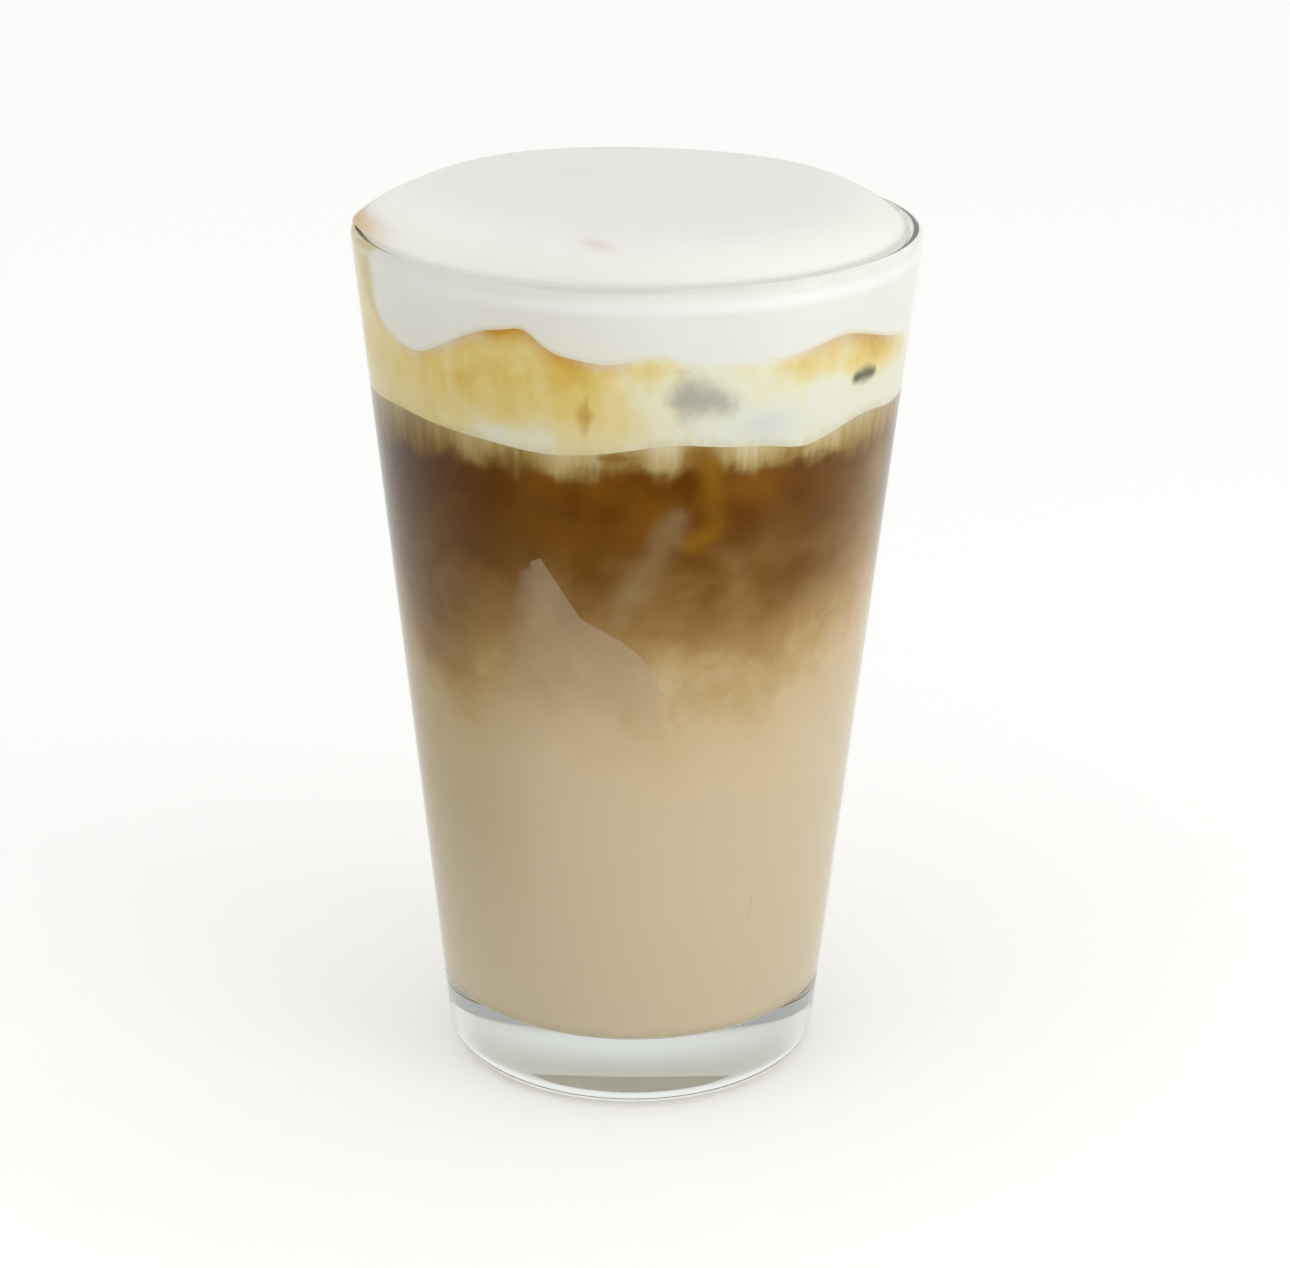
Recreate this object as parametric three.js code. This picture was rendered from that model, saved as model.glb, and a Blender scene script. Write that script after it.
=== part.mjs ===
// Iced latte in a conical tumbler: a clear glass with a thick base, filled with milky latte, a band of
// dark coffee, a crema-stained foam and a white milk foam that domes over the rim.
// Millimetres, +Z up, the origin in the middle of the glass's foot. The front of the drink faces -Y.
import * as THREE from "three";

// The tumbler
const glassHeight = 138;
const rimDiameter = 88;
const baseDiameter = 61; // at the top of the heel
const heelRadius = 4;
const lipThickness = 2.2; // the lip is a full round
const wallAtFloor = 3.2; // the wall thickens from the lip down to the floor
const floorThickness = 11.8;
const floorCornerRadius = 3;
const puntRadius = 20; // the shallow dish under the foot
const puntDepth = 0.2;

// The drink's levels at the wall
const latteLevel = 74;
const coffeeLevel = 113.3;
const cremaLevel = 126.3;
const domeHeight = 6.6; // of the foam, above its edge at the lip
const domeFullness = 5.7; // the higher, the flatter the dome's top and the steeper its edge
const domeTilt = -0.027; // rise for each millimetre to the right: the left side stands higher

// Waves of the three uneven borders and bulges of the dome. Azimuth and half width are in degrees, from the
// front, positive to the right.
const latteWaves = [
  { azimuth: -54, rise: -5, halfWidth: 15 },
  { azimuth: -17, rise: 8, halfWidth: 15 },
  { azimuth: 78, rise: 15, halfWidth: 20 },
  { azimuth: 138, rise: -6, halfWidth: 20 },
  { azimuth: -150, rise: 9, halfWidth: 24 },
];
const coffeeWaves = [
  { azimuth: -60, rise: 0.8, halfWidth: 14 },
  { azimuth: -18, rise: -1.1, halfWidth: 13 },
  { azimuth: 8, rise: 0.9, halfWidth: 9 },
  { azimuth: 38, rise: -1.4, halfWidth: 8 },
  { azimuth: 58, rise: 1, halfWidth: 9 },
  { azimuth: 110, rise: 0.7, halfWidth: 18 },
  { azimuth: 165, rise: -0.9, halfWidth: 16 },
  { azimuth: -120, rise: 0.8, halfWidth: 20 },
];
const domeBulges = [
  { azimuth: -90, rise: 0.9, halfWidth: 16 },
  { azimuth: 118, rise: 1.3, halfWidth: 38 },
];
const cremaWaves = [
  { azimuth: -79, rise: 8.2, halfWidth: 10 },
  { azimuth: -97, rise: 7, halfWidth: 14 },
  { azimuth: -52, rise: -2, halfWidth: 8 },
  { azimuth: -29, rise: 4, halfWidth: 11 },
  { azimuth: -22.5, rise: 1.8, halfWidth: 4 },
  { azimuth: -13, rise: 0.45, halfWidth: 6 },
  { azimuth: 4, rise: 2, halfWidth: 6 },
  { azimuth: 47, rise: 1.8, halfWidth: 10 },
  { azimuth: 78, rise: -2.4, halfWidth: 16 },
  { azimuth: 122, rise: 3.4, halfWidth: 17 },
  { azimuth: 164, rise: -2.2, halfWidth: 13 },
  { azimuth: -145, rise: 2.6, halfWidth: 14 },
];

const gap = 0.3; // between neighbouring pieces
const roundSides = 64; // flat sides of each round piece
const arcSteps = 4; // straight steps in each rounded corner
const faceRings = [0, 0.35, 0.65, 0.88, 1]; // rings across a layer's face, as shares of its radius
const domeRings = [0.98, 0.94, 0.86, 0.72, 0.5, 0.25, 0]; // rings of the dome, from its edge to its middle
const lipCover = 150; // degrees round the lip, from its outer side, at which the foam's edge leaves it

const lipRadius = lipThickness / 2;
const rimRadius = rimDiameter / 2;
const lipCentre = { r: rimRadius - lipRadius, z: glassHeight - lipRadius };

// Radius of the glass's outer wall at a height
function outerRadius(z) {
  const share = (z - heelRadius) / (lipCentre.z - heelRadius);
  return THREE.MathUtils.lerp(baseDiameter / 2, rimRadius, share);
}

// Radius of the glass's inner wall at a height
function innerRadius(z) {
  const share = (z - floorThickness) / (lipCentre.z - floorThickness);
  return outerRadius(z) - THREE.MathUtils.lerp(wallAtFloor, lipThickness, share);
}

// Points on an arc in the plane of radius and height, between two angles in degrees
function arc(centre, radius, from, to) {
  return Array.from({ length: arcSteps + 1 }, (_, step) => {
    const angle = THREE.MathUtils.degToRad(THREE.MathUtils.lerp(from, to, step / arcSteps));
    return { r: centre.r + radius * Math.cos(angle), z: centre.z + radius * Math.sin(angle) };
  });
}

// Sum of soft waves at an azimuth in degrees
function waveHeight(waves, azimuth) {
  return waves.reduce((sum, wave) => {
    const away = THREE.MathUtils.euclideanModulo(azimuth - wave.azimuth + 180, 360) - 180;
    return sum + wave.rise * Math.exp(-((away / wave.halfWidth) ** 2));
  }, 0);
}

// Height of a border: wavy at the wall, calmer towards the middle
function borderHeight(level, waves, azimuth, share) {
  return level + waveHeight(waves, azimuth) * share ** 2;
}

const latteTop = (azimuth, share) => borderHeight(latteLevel, latteWaves, azimuth, share);
const coffeeTop = (azimuth, share) => borderHeight(coffeeLevel, coffeeWaves, azimuth, share);
const cremaTop = (azimuth, share) => borderHeight(cremaLevel, cremaWaves, azimuth, share);

// A solid of revolution whose outline may change with the azimuth: outline(azimuth) lists its points,
// from the axis below, round the outside, to the axis above
function turnedGeometry(outline) {
  const points = outline(0).map((point) => new THREE.Vector2(point.r, point.z));
  const geometry = new THREE.LatheGeometry(points, roundSides).rotateX(Math.PI / 2);
  const position = geometry.getAttribute("position");
  for (let index = 0; index < position.count; index++) {
    const step = Math.floor(index / points.length) % roundSides;
    const azimuth = (360 * step) / roundSides;
    const point = outline(azimuth)[index % points.length];
    const angle = THREE.MathUtils.degToRad(azimuth);
    position.setXYZ(index, point.r * Math.sin(angle), -point.r * Math.cos(angle), point.z);
  }
  geometry.computeVertexNormals();
  return geometry;
}

function glassOutline() {
  const footRadius = baseDiameter / 2 - heelRadius;
  const corner = {
    r: innerRadius(floorThickness + floorCornerRadius) - floorCornerRadius,
    z: floorThickness + floorCornerRadius,
  };
  return [
    { r: 0, z: puntDepth },
    { r: puntRadius / 2, z: puntDepth * 0.8 },
    { r: puntRadius, z: 0 },
    ...arc({ r: footRadius, z: heelRadius }, heelRadius, -90, 0),
    ...arc(lipCentre, lipRadius, 0, 180),
    ...arc(corner, floorCornerRadius, 0, -90),
    { r: 0, z: floorThickness },
  ];
}

// A face of a layer, from the axis out to the wall: height(azimuth, share) gives its height
function layerFace(height, azimuth) {
  return faceRings.map((share) => {
    const z = height(azimuth, share);
    return { r: share * (innerRadius(z) - gap), z };
  });
}

// The lowest layer's underside follows the glass's floor and its rounded corner
function floorFace() {
  const clearCorner = floorCornerRadius - gap;
  const z = floorThickness + floorCornerRadius;
  const centre = { r: innerRadius(z) - floorCornerRadius, z };
  return [{ r: 0, z: floorThickness + gap }, ...arc(centre, clearCorner, -90, 0)];
}

// A layer between two borders, with the gap above its lower one
function layerOutline(lower, upper, azimuth) {
  const raised = (angle, share) => lower(angle, share) + gap;
  return [...layerFace(raised, azimuth), ...layerFace(upper, azimuth).reverse()];
}

function latteOutline(azimuth) {
  return [...floorFace(), ...layerFace(latteTop, azimuth).reverse()];
}

// The foam stands on the crema, follows the wall and the round of the lip, and domes over the rim
function foamOutline(azimuth) {
  const raised = (angle, share) => cremaTop(angle, share) + gap;
  const overLip = arc(lipCentre, lipRadius + gap, 180, lipCover);
  const edge = overLip[overLip.length - 1];
  const bulge = waveHeight(domeBulges, azimuth);
  const lean = domeTilt * Math.sin(THREE.MathUtils.degToRad(azimuth)) * edge.r;
  const dome = domeRings.map((share) => {
    const rise = domeHeight * (1 - share ** domeFullness);
    const uneven = share * (lean + bulge) * (1 - share ** 4);
    return { r: share * edge.r, z: edge.z + rise + uneven };
  });
  return [...layerFace(raised, azimuth), ...overLip, ...dome];
}

function addPiece(group, name, outline, look) {
  const mesh = new THREE.Mesh(turnedGeometry(outline), new THREE.MeshStandardMaterial(look));
  mesh.name = name;
  group.add(mesh);
}

const drink = new THREE.Group();
addPiece(drink, "glass", glassOutline, {
  color: 0xdfe8e6,
  roughness: 0.02,
  metalness: 0,
  transparent: true,
  opacity: 0.35,
});
addPiece(drink, "latte", latteOutline, { color: 0xcdb896, roughness: 0.35, metalness: 0 });
addPiece(drink, "coffee", (azimuth) => layerOutline(latteTop, coffeeTop, azimuth), {
  color: 0x633b0e,
  roughness: 0.3,
  metalness: 0,
});
addPiece(drink, "crema", (azimuth) => layerOutline(coffeeTop, cremaTop, azimuth), {
  color: 0xd8c48a,
  roughness: 0.5,
  metalness: 0,
});
addPiece(drink, "foam", foamOutline, { color: 0xeeece3, roughness: 0.55, metalness: 0 });

export default drink;
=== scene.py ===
import math

import bmesh
import bpy
from mathutils import Matrix, Vector


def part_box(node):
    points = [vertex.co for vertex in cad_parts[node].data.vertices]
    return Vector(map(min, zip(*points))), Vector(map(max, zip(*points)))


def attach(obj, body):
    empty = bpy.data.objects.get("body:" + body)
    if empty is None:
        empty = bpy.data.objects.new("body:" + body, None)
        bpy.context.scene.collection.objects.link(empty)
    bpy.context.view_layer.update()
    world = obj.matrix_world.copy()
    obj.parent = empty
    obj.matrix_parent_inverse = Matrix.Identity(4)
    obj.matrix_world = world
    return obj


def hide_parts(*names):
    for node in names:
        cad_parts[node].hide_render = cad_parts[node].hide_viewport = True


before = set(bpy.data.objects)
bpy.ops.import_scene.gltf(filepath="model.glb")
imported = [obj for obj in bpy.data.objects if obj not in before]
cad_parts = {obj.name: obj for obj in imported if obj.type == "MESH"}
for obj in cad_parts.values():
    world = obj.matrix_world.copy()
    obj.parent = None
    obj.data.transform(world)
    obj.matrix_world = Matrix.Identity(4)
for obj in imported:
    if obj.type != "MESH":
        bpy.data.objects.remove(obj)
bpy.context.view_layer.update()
mm = 0.001
print("frame loaded:", ", ".join(sorted(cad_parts)))


# Colour, nodes and meshes

def hexColour(code):
    # sRGB hex to linear RGBA
    shares = [int(code[place:place + 2], 16) / 255 for place in (1, 3, 5)]
    return [s / 12.92 if s <= 0.04045 else ((s + 0.055) / 1.055) ** 2.4 for s in shares] + [1.0]


def addNode(tree, kind, settings=None, inputs=None):
    # one node, its settings, and its inputs as values or as links
    made = tree.nodes.new("ShaderNode" + kind)
    for name, value in (settings or {}).items():
        if name == "stops":
            ramp = made.color_ramp
            while len(ramp.elements) < len(value):
                ramp.elements.new(0.5)
            for element, (place, code) in zip(ramp.elements, value):
                element.position = place
                element.color = hexColour(code)
        else:
            setattr(made, name, value)
    for name, value in (inputs or {}).items():
        if isinstance(value, bpy.types.NodeSocket):
            tree.links.new(value, made.inputs[name])
        else:
            made.inputs[name].default_value = value
    return made


# settings that many nodes share
mixColours = {"data_type": "RGBA"}
smoothEdge = {"interpolation_type": "SMOOTHSTEP"}
times = {"operation": "MULTIPLY"}
timesUpToOne = {"operation": "MULTIPLY", "use_clamp": True}
timesPlus = {"operation": "MULTIPLY_ADD"}


def newMaterial(name):
    material = bpy.data.materials.new(name)
    material.use_nodes = True
    material.node_tree.nodes.clear()
    return material, material.node_tree


def perMm(size):
    # texture scale that gives features of about this many millimetres
    return 1 / (size * mm)


def arcPoints(centre, radius, start, end, steps):
    # (radius, height) points on an arc, angles in degrees
    points = []
    for step in range(steps + 1):
        angle = math.radians(start + (end - start) * step / steps)
        points.append((centre[0] + radius * math.cos(angle), centre[1] + radius * math.sin(angle)))
    return points


def turnPiece(name, outline, steps=288):
    # spin a straight row of points, then move each one to its place on the outline at its azimuth
    outlines = {}
    shape = bmesh.new()
    row = [shape.verts.new((1, 0, place)) for place in range(len(outline(0.0)))]
    edges = [shape.edges.new(pair) for pair in zip(row, row[1:])]
    bmesh.ops.spin(shape, geom=row + edges, cent=(0, 0, 0), axis=(0, 0, 1), dvec=(0, 0, 0),
                   angle=2 * math.pi, steps=steps, use_merge=True)
    for point in shape.verts:
        azimuth = round(math.degrees(math.atan2(point.co.x, -point.co.y)), 4)
        if azimuth not in outlines:
            outlines[azimuth] = outline(azimuth)
        radius, height = outlines[azimuth][round(point.co.z)]
        turn = math.radians(azimuth)
        point.co = Vector((radius * math.sin(turn), -radius * math.cos(turn), height)) * mm
    bmesh.ops.remove_doubles(shape, verts=shape.verts[:], dist=0.001 * mm)
    return pieceFrom(name, shape)


def pieceFrom(name, shape, sharpAngle=50):
    bmesh.ops.recalc_face_normals(shape, faces=shape.faces[:])
    for face in shape.faces:
        face.smooth = True
    mesh = bpy.data.meshes.new(name)
    shape.to_mesh(mesh)
    shape.free()
    mesh.set_sharp_from_angle(angle=math.radians(sharpAngle))
    piece = bpy.data.objects.new(name, mesh)
    bpy.context.scene.collection.objects.link(piece)
    print("piece", name, len(mesh.polygons), "faces")
    return piece


def fit(piece, node, material):
    piece.data.materials.append(material)
    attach(piece, "root")
    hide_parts(node)


# Fields on the wall, by azimuth in degrees from the front, positive to the right, and height in mm

def turnBetween(azimuth, place):
    return (azimuth - place + 180) % 360 - 180


def softStep(low, high, value):
    # 0 at the first value, 1 at the second, smooth between them
    share = min(1.0, max(0.0, (value - low) / (high - low)))
    return share * share * (3 - 2 * share)


def wavesAt(waves, azimuth):
    # soft bumps round the glass: (azimuth, height, half width)
    return sum(height * math.exp(-(turnBetween(azimuth, place) / halfWidth) ** 2)
               for place, height, halfWidth in waves)


def spotsAt(spots, azimuth, height):
    # soft spots: (azimuth, height, half width in degrees, half height in mm, strength)
    total = 0.0
    for place, level, halfWidth, halfHeight, strength in spots:
        across = turnBetween(azimuth, place) / halfWidth
        up = (height - level) / halfHeight
        total += strength * math.exp(-across ** 2 - up ** 2)
    return total


def wispAt(path, azimuth, height):
    # 1 on the path, 0 at its half width, negative outside; path of (azimuth, height, half width in mm)
    best = -1.0
    if abs(turnBetween(azimuth, path[0][0])) > 40:  # too far round to touch it
        return best
    for (startTurn, startHeight, startWidth), (endTurn, endHeight, endWidth) in zip(path, path[1:]):
        point = Vector((turnBetween(azimuth, startTurn) * mmPerDegree, height - startHeight))
        line = Vector((turnBetween(endTurn, startTurn) * mmPerDegree, endHeight - startHeight))
        share = min(1.0, max(0.0, point.dot(line) / line.length_squared))
        width = startWidth + (endWidth - startWidth) * share
        best = max(best, 1 - (point - line * share).length / width)
    return best


def insideAt(outline, azimuth, height):
    # distance in mm to a closed outline of (azimuth, height), positive inside
    corners = [Vector((turnBetween(turn, azimuth) * mmPerDegree, level - height))
               for turn, level in outline]
    nearest = 1e9
    inside = False
    for a, b in zip(corners, corners[1:] + corners[:1]):
        line = b - a
        share = min(1.0, max(0.0, -a.dot(line) / line.length_squared))
        nearest = min(nearest, (a + line * share).length)
        if (a.y > 0) != (b.y > 0) and a.x + (b.x - a.x) * a.y / (a.y - b.y) > 0:
            inside = not inside
    return nearest if inside else -nearest


def paint(piece, fields):
    # one number a point for each field(azimuth, height), for the materials to read
    for name, field in fields.items():
        attribute = piece.data.attributes.new(name, "FLOAT", "POINT")
        for point, value in zip(piece.data.vertices, attribute.data):
            place = point.co / mm
            value.value = field(math.degrees(math.atan2(place.x, -place.y)), place.z)


# Tumbler

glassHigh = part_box("glass")[1]  # upper corner
tumbler = {
    "height": glassHigh.z / mm,
    "rimRadius": glassHigh.x / mm,
    "baseRadius": 30.5,
    "heel": 4.0,  # radius of the rounded edge under the wall
    "lip": 1.1,  # radius of the full-round lip
    "wallAtFloor": 3.2,
    "floor": 11.8,  # thickness of the clear base
    "corner": 3.0,  # inside, between the floor and the wall
    "puntRadius": 20.0,  # the shallow dish under the foot
    "puntDepth": 0.2,
}
lipCentre = (tumbler["rimRadius"] - tumbler["lip"], tumbler["height"] - tumbler["lip"])
mmPerDegree = math.radians(1) * 38.0  # along the inner wall, about halfway up


def outerRadius(height):
    share = (height - tumbler["heel"]) / (lipCentre[1] - tumbler["heel"])
    return tumbler["baseRadius"] + (tumbler["rimRadius"] - tumbler["baseRadius"]) * share


def innerRadius(height):
    share = (height - tumbler["floor"]) / (lipCentre[1] - tumbler["floor"])
    thinner = (2 * tumbler["lip"] - tumbler["wallAtFloor"]) * share
    return outerRadius(height) - tumbler["wallAtFloor"] - thinner


def cornerCentre():
    height = tumbler["floor"] + tumbler["corner"]
    return innerRadius(height) - tumbler["corner"], height


def glassOutline(azimuth):
    heel = tumbler["heel"]
    punt = [(tumbler["puntRadius"] * share, tumbler["puntDepth"] * (1 - share ** 2) ** 2)
            for share in (0, 0.2, 0.4, 0.6, 0.75, 0.88, 0.95, 1)]
    return [
        *punt,
        *arcPoints((tumbler["baseRadius"] - heel, heel), heel, -90, 0, 12),
        *arcPoints(lipCentre, tumbler["lip"], 0, 180, 20),
        *arcPoints(cornerCentre(), tumbler["corner"], 0, -90, 10),
        (0, tumbler["floor"]),
    ]


def sodaLimeGlass():
    # pressed and fire-polished soda-lime glass: clear, with a faint green in its depth
    material, tree = newMaterial("soda-lime glass")
    shader = addNode(tree, "BsdfPrincipled", inputs={
        "Base Color": hexColour("#fdfefd"),
        "Roughness": 0.0,
        "IOR": 1.52,
        "Specular Tint": (0.03, 0.03, 0.03, 1),  # weak head-on, so that the drink stays deep and clear
        "Transmission Weight": 1.0,
    })
    depth = addNode(tree, "VolumeAbsorption", inputs={"Color": hexColour("#c8e2d6"), "Density": 3.0})
    addNode(tree, "OutputMaterial", inputs={
        "Surface": shader.outputs[0],
        "Volume": depth.outputs[0],
    })
    return material


glass = turnPiece("tumbler", glassOutline)
fit(glass, "glass", sodaLimeGlass())


# Levels of the drink at the wall

drink = {
    "reach": 0.12,  # how far the drink goes into the wall, so that no air shows
    "rows": {"latte": 70, "coffee": 60, "crema": 40, "foam": 40},  # of points up the wall
    # levels in mm, with waves of azimuth, rise and half width
    "latteLevel": 74.0,
    "latteWaves": [(-54, -5, 15), (-17, 8, 15), (78, 15, 20), (138, -6, 20), (-150, 9, 24)],
    "coffeeLevel": 113.3,
    "coffeeWaves": [(-60, 0.8, 14), (-18, -1.1, 13), (8, 0.9, 9), (38, -1.4, 8), (58, 1.0, 9),
                    (110, 0.7, 18), (165, -0.9, 16), (-120, 0.8, 20)],
    "cremaLevel": 126.3,
    "cremaWaves": [(-79, 8.2, 10), (-97, 7, 14), (-52, -2, 8), (-29, 4, 11), (-22.5, 1.8, 4),
                   (-13, 0.45, 6), (4, 2, 6), (47, 1.8, 10), (78, -2.4, 16), (122, 3.4, 17),
                   (164, -2.2, 13), (-145, 2.6, 14)],
}


def latteTop(azimuth, share=1.0):
    return drink["latteLevel"] + wavesAt(drink["latteWaves"], azimuth) * share ** 2


def coffeeTop(azimuth, share=1.0):
    return drink["coffeeLevel"] + wavesAt(drink["coffeeWaves"], azimuth) * share ** 2


def cremaTop(azimuth, share=1.0):
    return drink["cremaLevel"] + wavesAt(drink["cremaWaves"], azimuth) * share ** 2


def layerFace(height, azimuth):
    # from the axis to the wall
    points = []
    for share in (0, 0.3, 0.6, 0.85, 1):
        level = height(azimuth, share)
        points.append((share * (innerRadius(level) + drink["reach"]), level))
    return points


def wallRows(low, high, rows):
    # points up the wall, between two faces
    levels = [low + (high - low) * row / rows for row in range(1, rows)]
    return [(innerRadius(level) + drink["reach"], level) for level in levels]


def latteOutline(azimuth):
    floor = [(0, tumbler["floor"] - drink["reach"]),
             *arcPoints(cornerCentre(), tumbler["corner"] + drink["reach"], -90, 0, 10)]
    wall = wallRows(floor[-1][1], latteTop(azimuth), drink["rows"]["latte"])
    return [*floor, *wall, *reversed(layerFace(latteTop, azimuth))]


def coffeeOutline(azimuth):
    wall = wallRows(latteTop(azimuth), coffeeTop(azimuth), drink["rows"]["coffee"])
    return [*layerFace(latteTop, azimuth), *wall, *reversed(layerFace(coffeeTop, azimuth))]


def cremaOutline(azimuth):
    wall = wallRows(coffeeTop(azimuth), cremaTop(azimuth), drink["rows"]["crema"])
    return [*layerFace(coffeeTop, azimuth), *wall, *reversed(layerFace(cremaTop, azimuth))]


# Coffee and milk

swirls = {
    # how far the milk has risen: azimuth, height, half width, half height, mm
    "clouds": [(-54, 76, 14, 16, -6), (-22, 86, 12, 12, 2), (70, 90, 17, 26, 11), (38, 91, 8, 5, -5),
               (24, 101, 6, 4, -3), (10, 75, 12, 8, 4), (24, 80, 9, 6, 2), (68, 104, 10, 10, 15),
               (-2, 89, 10, 6, 4), (-36, 72, 9, 6, 2), (138, 78, 20, 16, -6), (-150, 82, 24, 18, 9),
               (-110, 80, 14, 12, 5)],
    # warmer patches: azimuth, height, half width, half height, strength
    "gold": [(-21, 108, 7, 3, 0.5), (-7, 107, 5, 3, 0.6), (27, 106.3, 7, 2.8, 1.3), (-18, 99, 6, 3, 0.5),
             (14, 111.7, 3, 2, 0.9), (3, 101, 7, 7, 0.6), (52, 105, 10, 5, 0.5), (100, 101, 8, 4, 0.6),
             (150, 105, 9, 4, 0.7), (-125, 104, 9, 4, 0.7)],
    # paths of two wisps of milk: azimuth, height, half width in mm
    "goldWisp": [(15.5, 111, 2.6), (17.6, 104.5, 3.2), (18.8, 101.9, 3.0), (16.6, 99.6, 2.3),
                 (12, 98.5, 1.6)],
    "greyWisp": [(9.6, 102.6, 1.8), (7.0, 99, 2.6), (4.2, 96.2, 3.1), (0.6, 92.4, 3.1), (-1.9, 89.6, 2.5),
                 (-4.2, 86, 1.5)],
    "wispTurns": (0, 128, -135),  # the same two wisps hang again round the back
    "filmEdge": 109.9,  # lower edge of the cream that ran down the wall
    "filmWaves": [(-72, -2.2, 15), (-52, -0.8, 6), (-18, -0.2, 8), (-33, 0.2, 6), (7, -0.8, 4),
                  (13.5, 2.0, 4.5), (26, -0.2, 5), (44, -0.5, 7), (62, -1.2, 12), (140, -1.2, 30),
                  (-130, 0.8, 20)],
    # how pale that cream is: azimuth, strength, half width
    "filmPale": [(-62, 0.08, 8), (-36, 0.36, 10), (-13, 0.46, 8), (6, 0.45, 5), (25, 0.45, 7),
                 (43, 0.32, 7), (55, 0.12, 12), (120, 0.5, 25), (-150, 0.55, 22)],
    # darker smudges in it: azimuth, height, half width, half height, strength
    "smudges": [(-4.3, 112.2, 4.4, 0.75, 0.9), (14, 112.3, 2.6, 1.5, 0.9), (110, 112.2, 5, 0.9, 0.8)],
}


def turnedWispAt(name, azimuth, height):
    return max(wispAt(swirls[name], azimuth - turn, height) for turn in swirls["wispTurns"])


def filmAt(azimuth, height):
    # millimetres above the film's lower edge
    return max(-6.0, height - swirls["filmEdge"] - wavesAt(swirls["filmWaves"], azimuth))


# Ice at the wall: its right flank is clear, the rest fades to the left and down into the milk
ice = {
    # corners by azimuth and height, and how far the block stands proud of the drink's surface
    "leftIce": ([(-21.3, 95.4), (-27.4, 93.6), (-46, 60), (-6, 60), (-7.5, 81.2)], 0.08),
    "rightIce": ([(-12.7, 86.3), (-3.2, 82.9), (1.6, 80.3), (4.9, 76.9), (7.4, 73.4), (8.7, 69.4),
                  (9.5, 60), (-24, 60), (-24, 84)], 0.04),
}
iceDepth = 16.0
iceHaze = {
    "foot": (60, 76),  # heights where it is hidden and clear
    "edge": -29.5,  # azimuth of its hazy left edge
    "edgeHeight": 90,  # under this height the edge runs further to the left
    "edgeRun": (0.1, 0.02),  # degrees for each mm down, and for its square
    "edgeWidth": (-2, 8),  # degrees from that edge where it is hidden and clear
    "dull": (94, 78),  # from its dull top to its full tone
    "dullTone": 0.75,
    "sinks": 0.6,  # mm under the drink's surface where it is hidden
}


def iceHazeAt(azimuth, height):
    # 1 where the ice is clear, 0 where the milk hides it
    below = max(0.0, iceHaze["edgeHeight"] - height)
    run, bend = iceHaze["edgeRun"]
    hazyEdge = iceHaze["edge"] - run * below - bend * below ** 2
    return softStep(*iceHaze["foot"], height) * softStep(*iceHaze["edgeWidth"], azimuth - hazyEdge)


def iceAt(azimuth, height):
    dull = iceHaze["dullTone"]
    return iceHazeAt(azimuth, height) * (dull + (1 - dull) * softStep(*iceHaze["dull"], height))


def iceBehindAt(azimuth, height):
    # the same on the drink's own surface, a little inside the blocks' edges
    if abs(azimuth) > 60 or height > 97:  # well outside both blocks
        return 0.0
    inside = max(insideAt(outline, azimuth, height) for outline, _ in ice.values())
    return iceAt(azimuth, height) * softStep(0.4, 1.4, inside)


drinkFields = {
    "milkRise": lambda azimuth, height: spotsAt(swirls["clouds"], azimuth, height),
    "goldPatch": lambda azimuth, height: spotsAt(swirls["gold"], azimuth, height),
    "goldWisp": lambda azimuth, height: turnedWispAt("goldWisp", azimuth, height),
    "greyWisp": lambda azimuth, height: turnedWispAt("greyWisp", azimuth, height),
    "film": filmAt,
    "filmPale": lambda azimuth, height: wavesAt(swirls["filmPale"], azimuth),
    "smudge": lambda azimuth, height: spotsAt(swirls["smudges"], azimuth, height),
    "ice": iceBehindAt,
}

drinkLook = {
    # from the milk up to the black coffee, between two heights in mm
    "depths": [(0.0, "#dacaad"), (0.15, "#dbcaa9"), (0.28, "#d8c39d"), (0.37, "#c9ad7c"),
               (0.45, "#b5935f"), (0.54, "#a58250"), (0.63, "#906a38"), (0.73, "#79501d"),
               (0.85, "#6d400d"), (1.0, "#643805")],
    "depthRange": (65, 130),
    "darkRange": (84, 98),  # the dark part sets in between these heights
    "goldPatch": "#8f5d16",
    # painted light: golden tint at both sides, where the coffee is seen edge on
    "edgeOnPaintedLight": "#6a5406",
    "wisps": [("goldWisp", "#a9781f", 0.58), ("greyWisp", "#b09b76", 0.42)],  # field, colour, strength
    "ice": "#c3b297",
    "cream": [(0.0, "#8e6a2c"), (0.35, "#ab8c4c"), (0.65, "#cdb880"), (1.0, "#e6dcb6")],
    "smudge": "#936a2c",
    # painted shade, multiplied in on the left side
    "leftShade": "#d2cba8",
    # painted light under the milk
    "underside": "#fff6e6",
    # sizes of the patterns in mm
    "swirl": 24,
    "swirlBend": 22,
    "cloud": 15,
    "cloudRise": 30,
    "patch": 8,
    "frost": 9,
    "streak": 1.1,
    "tear": 3.2,
    "fray": 4,
}


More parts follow.
